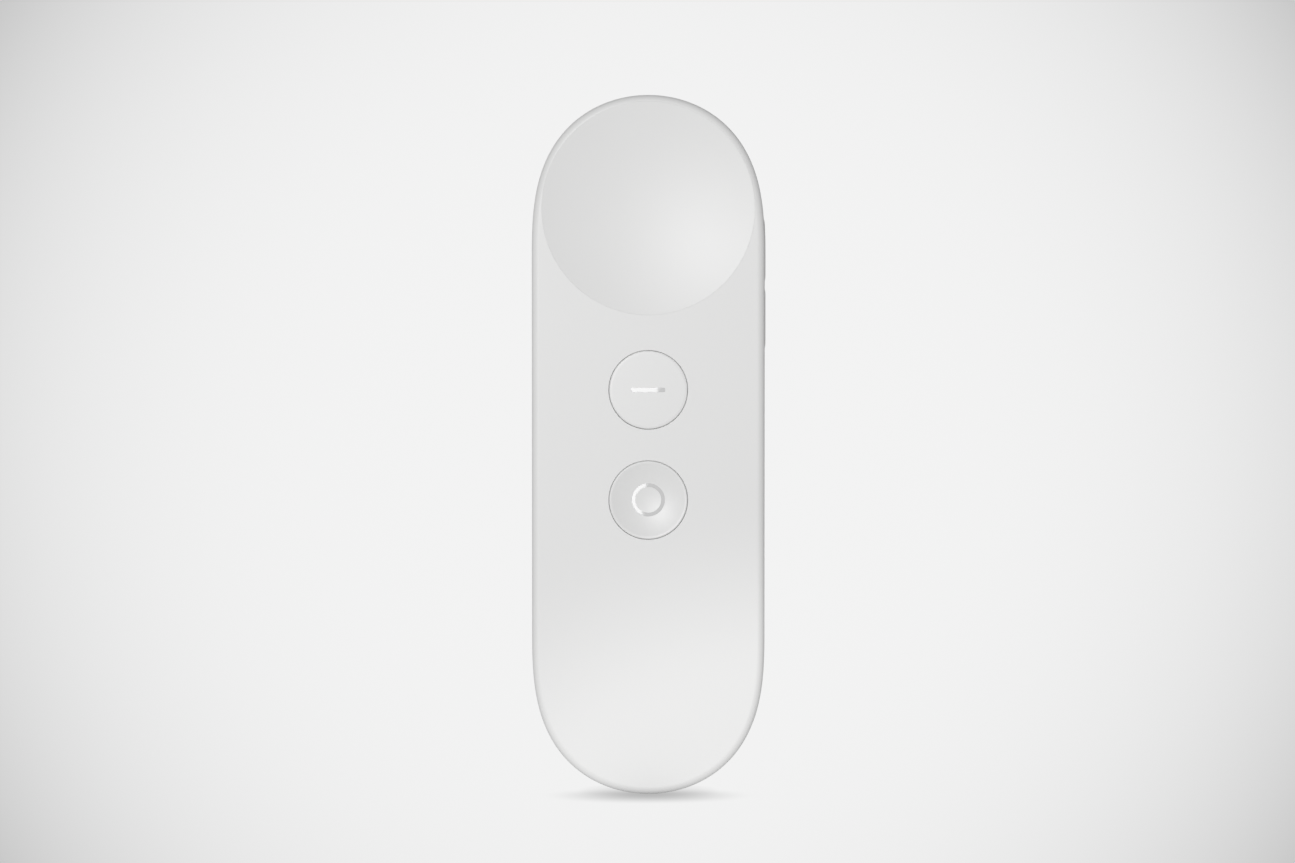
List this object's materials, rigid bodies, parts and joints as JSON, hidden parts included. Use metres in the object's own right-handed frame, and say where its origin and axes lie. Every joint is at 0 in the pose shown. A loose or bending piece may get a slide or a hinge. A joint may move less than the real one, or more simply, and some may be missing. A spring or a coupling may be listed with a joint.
{
  "type": "vr motion controller",
  "caption": "Slim white hand-held motion controller with a dished round touchpad, two round face buttons, low volume keys on one side and a charging port at its lower end.",
  "frame": {"origin": "centre of the flat land on the back, halfway along the length", "axes": "+Z along the length toward the touchpad end, -Y out of the button face, +X toward the volume keys"},
  "size_m": [0.0352, 0.0169, 0.1054],
  "materials": {
    "shell": "fine satin moulded texture",
    "touch_surface": "smooth satin",
    "button_caps": "smooth satin with polished marks",
    "inner_frame": "moulded, unpainted",
    "circuit_board": "green solder mask",
    "flex_film": "amber film",
    "black_plastic": "moulded",
    "steel": "plated sheet steel",
    "chip_epoxy": "moulded epoxy",
    "clear_plastic": "clear, slightly milky",
    "battery_foil": "laminated foil",
    "foam": "closed-cell foam",
    "connector_plastic": "moulded",
    "red_wire": "insulation",
    "black_wire": "insulation"
  },
  "bodies": {
    "case": {"front_case": "shell", "rear_case": "shell", "main_board": "circuit_board", "button_guide": "inner_frame", "battery_tray": "inner_frame", "flex_connector": "black_plastic", "touch_switch": "black_plastic", "app_switch": "black_plastic", "home_switch": "black_plastic", "volume_up_switch": "black_plastic", "volume_down_switch": "black_plastic", "usb_tongue": "black_plastic", "shield_can": "steel", "crystal": "steel", "antenna": "steel", "usb_shell": "steel", "board_screw_1": "steel", "board_screw_2": "steel", "board_screw_3": "steel", "board_screw_4": "steel", "radio_chip": "chip_epoxy", "motion_sensor": "chip_epoxy", "magnetometer": "chip_epoxy", "charger_chip": "chip_epoxy", "status_led": "clear_plastic", "light_pipe": "clear_plastic", "battery_cell": "battery_foil", "battery_foam": "foam", "battery_socket": "connector_plastic", "battery_plug": "connector_plastic", "battery_lead_red": "red_wire", "battery_lead_black": "black_wire"},
    "touchpad": {"touchpad_disc": "touch_surface", "touch_sensor_board": "circuit_board", "touchpad_carrier": "inner_frame", "touch_flex": "flex_film", "touch_plunger": "steel"},
    "app_button": {"app_button": "button_caps", "app_plunger": "steel"},
    "home_button": {"home_button": "button_caps", "home_plunger": "steel"},
    "volume_up": {"volume_up_key": "button_caps", "volume_up_plunger": "steel"},
    "volume_down": {"volume_down_key": "button_caps", "volume_down_plunger": "steel"}
  },
  "joints": [
    {"name": "touchpad_click", "type": "slide", "parent": "case", "child": "touchpad", "axis": [0, 1, 0], "range_m": [0, 0.0003], "stiffness_N_per_m": 5000, "springref_m": -0.0001},
    {"name": "app_button_press", "type": "slide", "parent": "case", "child": "app_button", "axis": [0, 1, 0], "range_m": [0, 0.00035], "stiffness_N_per_m": 4000, "springref_m": -0.0001},
    {"name": "home_button_press", "type": "slide", "parent": "case", "child": "home_button", "axis": [0, 1, 0], "range_m": [0, 0.00035], "stiffness_N_per_m": 4000, "springref_m": -0.0001},
    {"name": "volume_up_press", "type": "slide", "parent": "case", "child": "volume_up", "axis": [-1, 0, 0], "range_m": [0, 0.0003], "stiffness_N_per_m": 5000, "springref_m": -0.0001},
    {"name": "volume_down_press", "type": "slide", "parent": "case", "child": "volume_down", "axis": [-1, 0, 0], "range_m": [0, 0.0003], "stiffness_N_per_m": 5000, "springref_m": -0.0001}
  ]
}
